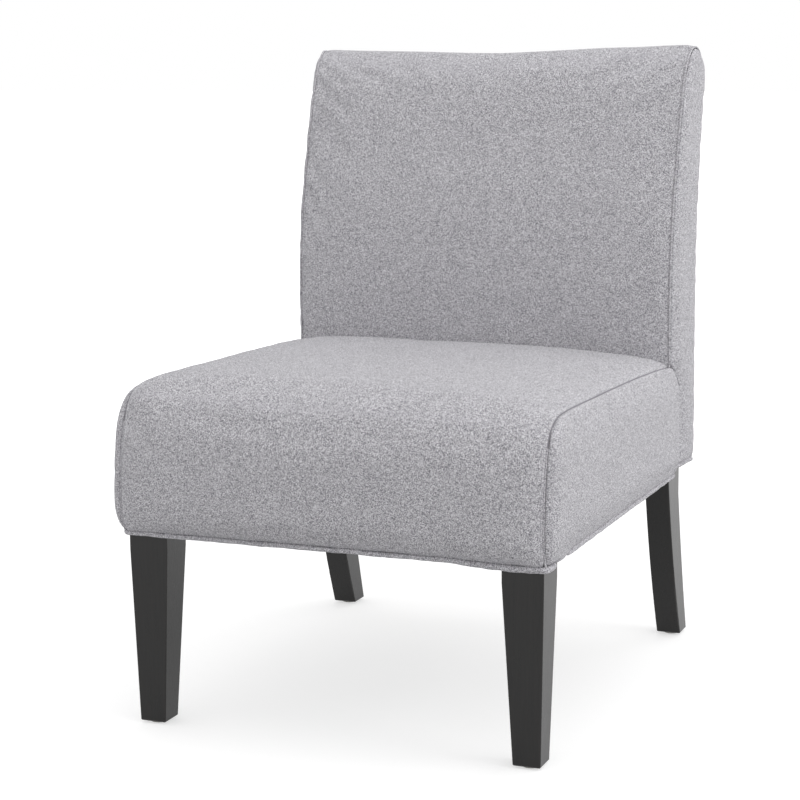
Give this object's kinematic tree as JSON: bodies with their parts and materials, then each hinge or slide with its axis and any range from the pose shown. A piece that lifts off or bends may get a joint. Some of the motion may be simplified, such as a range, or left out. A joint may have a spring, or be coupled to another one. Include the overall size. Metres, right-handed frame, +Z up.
{
  "type": "slipper chair",
  "caption": "Armless slipper chair with a crowned seat, a leaning upholstered back, welted lower edges and tapered dark wood legs.",
  "frame": {"origin": "on the floor, under the middle of the chair's bounding box", "axes": "+Z up, -Y towards the front of the seat, +X towards the chair's left arm side as its sitter sees it"},
  "size_m": [0.554, 0.664, 0.803],
  "materials": {
    "linen": "light grey heathered plain weave",
    "foam": "open-cell foam block",
    "wadding": "soft white fibre wadding",
    "dark_wood": "espresso black stain under satin lacquer",
    "frame_wood": "bare planed hardwood",
    "dowel_wood": "bare fluted beech",
    "glide_plastic": "matte light grey",
    "zinc_steel": "zinc plated",
    "deck_cloth": "coarse spun cloth",
    "strap_web": "woven elastic webbing",
    "black_cloth": "thin black spun-bonded dust cloth"
  },
  "bodies": {
    "root": {"back_cover_front": "linen", "back_cover_rear": "linen", "back_cover_side_left": "linen", "back_cover_side_right": "linen", "back_foam": "foam", "back_side_pad_left": "wadding", "back_side_pad_right": "wadding", "back_straps": "strap_web", "back_wadding": "wadding", "back_welt": "linen", "block_screws": "zinc_steel", "clip_nails": "zinc_steel", "corner_block_front_left": "frame_wood", "corner_block_front_right": "frame_wood", "corner_block_rear_left": "frame_wood", "corner_block_rear_right": "frame_wood", "dust_cover": "black_cloth", "front_leg_left": "dark_wood", "front_leg_right": "dark_wood", "front_rail": "frame_wood", "glide_front_left": "glide_plastic", "glide_front_right": "glide_plastic", "glide_nails": "zinc_steel", "glide_rear_left": "glide_plastic", "glide_rear_right": "glide_plastic", "leg_bolt_nuts": "zinc_steel", "leg_bolt_washers": "zinc_steel", "leg_bolts": "zinc_steel", "lumbar_rail": "frame_wood", "panel_rail": "frame_wood", "panel_rail_screws": "zinc_steel", "rail_dowels": "dowel_wood", "rear_post_left": "dark_wood", "rear_post_right": "dark_wood", "rear_rail": "frame_wood", "seat_cover_side_left": "linen", "seat_cover_side_right": "linen", "seat_cover_top": "linen", "seat_deck": "deck_cloth", "seat_foam": "foam", "seat_side_pad_left": "wadding", "seat_side_pad_right": "wadding", "seat_spring_1": "zinc_steel", "seat_spring_2": "zinc_steel", "seat_spring_3": "zinc_steel", "seat_spring_4": "zinc_steel", "seat_spring_5": "zinc_steel", "seat_wadding": "wadding", "seat_welt": "linen", "side_rail_left": "frame_wood", "side_rail_right": "frame_wood", "spring_clips": "zinc_steel", "top_rail": "frame_wood"}
  },
  "joints": []
}
